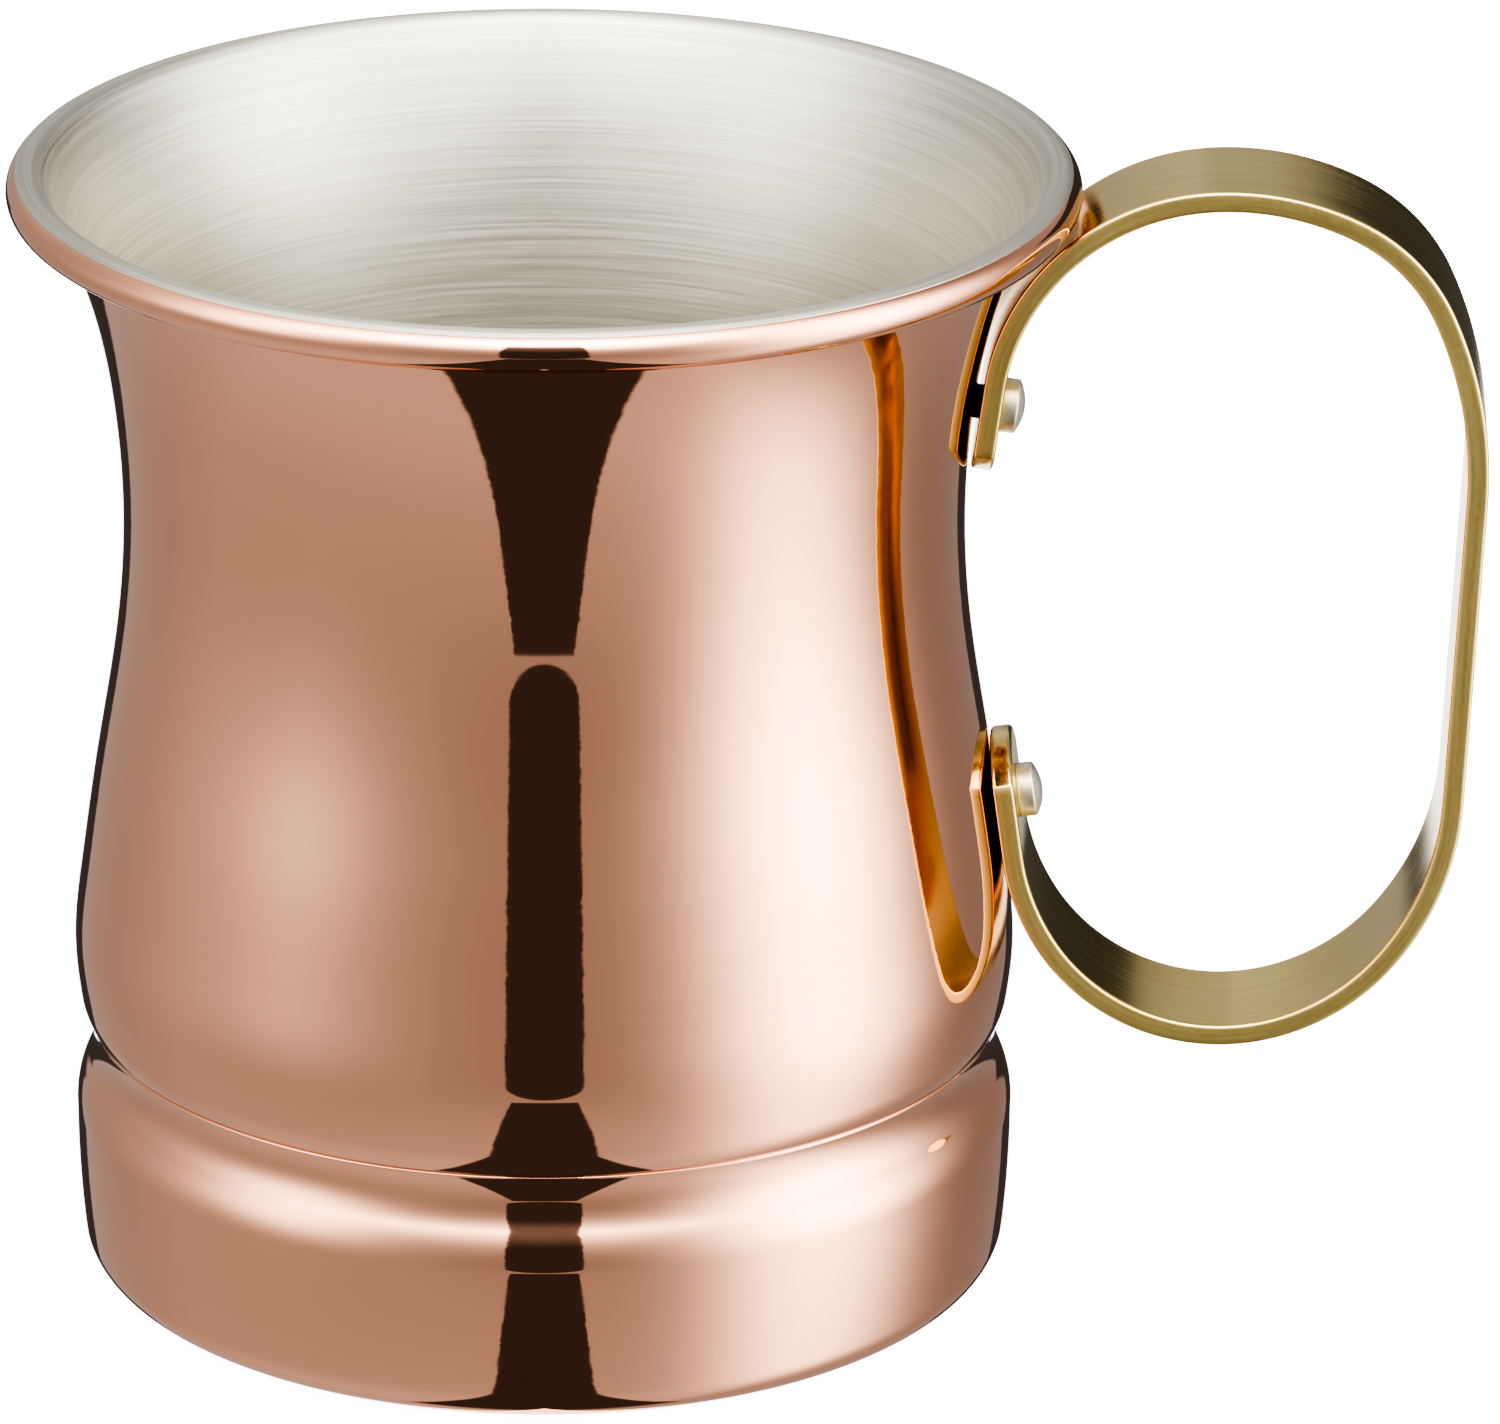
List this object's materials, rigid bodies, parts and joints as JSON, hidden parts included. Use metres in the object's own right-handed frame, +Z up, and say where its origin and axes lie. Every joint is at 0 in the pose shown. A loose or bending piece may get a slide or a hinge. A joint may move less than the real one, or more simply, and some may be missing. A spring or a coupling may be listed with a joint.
{
  "type": "mug",
  "caption": "Copper mug with a flared mouth, rolled rim, waist and stepped foot, tinned inside, with a flat brass strap handle riveted on.",
  "frame": {"origin": "centre of the flat underside, on the mug's axis", "axes": "+Z up along the mug's axis, +X towards the handle, and Y = 0 is the plane of symmetry"},
  "size_m": [0.1272, 0.092, 0.1005],
  "materials": {
    "copper": "mirror-polished copper, clear and warm",
    "tin": "satin tin with fine rings round the mug's axis",
    "brass": "satin brass, polished along its rounded edges",
    "rivet_metal": "satin silver-grey"
  },
  "bodies": {
    "root": {"cup_body": "copper", "cup_lining": "tin", "handle": "brass", "rivet_upper": "rivet_metal", "rivet_lower": "rivet_metal"}
  },
  "joints": []
}
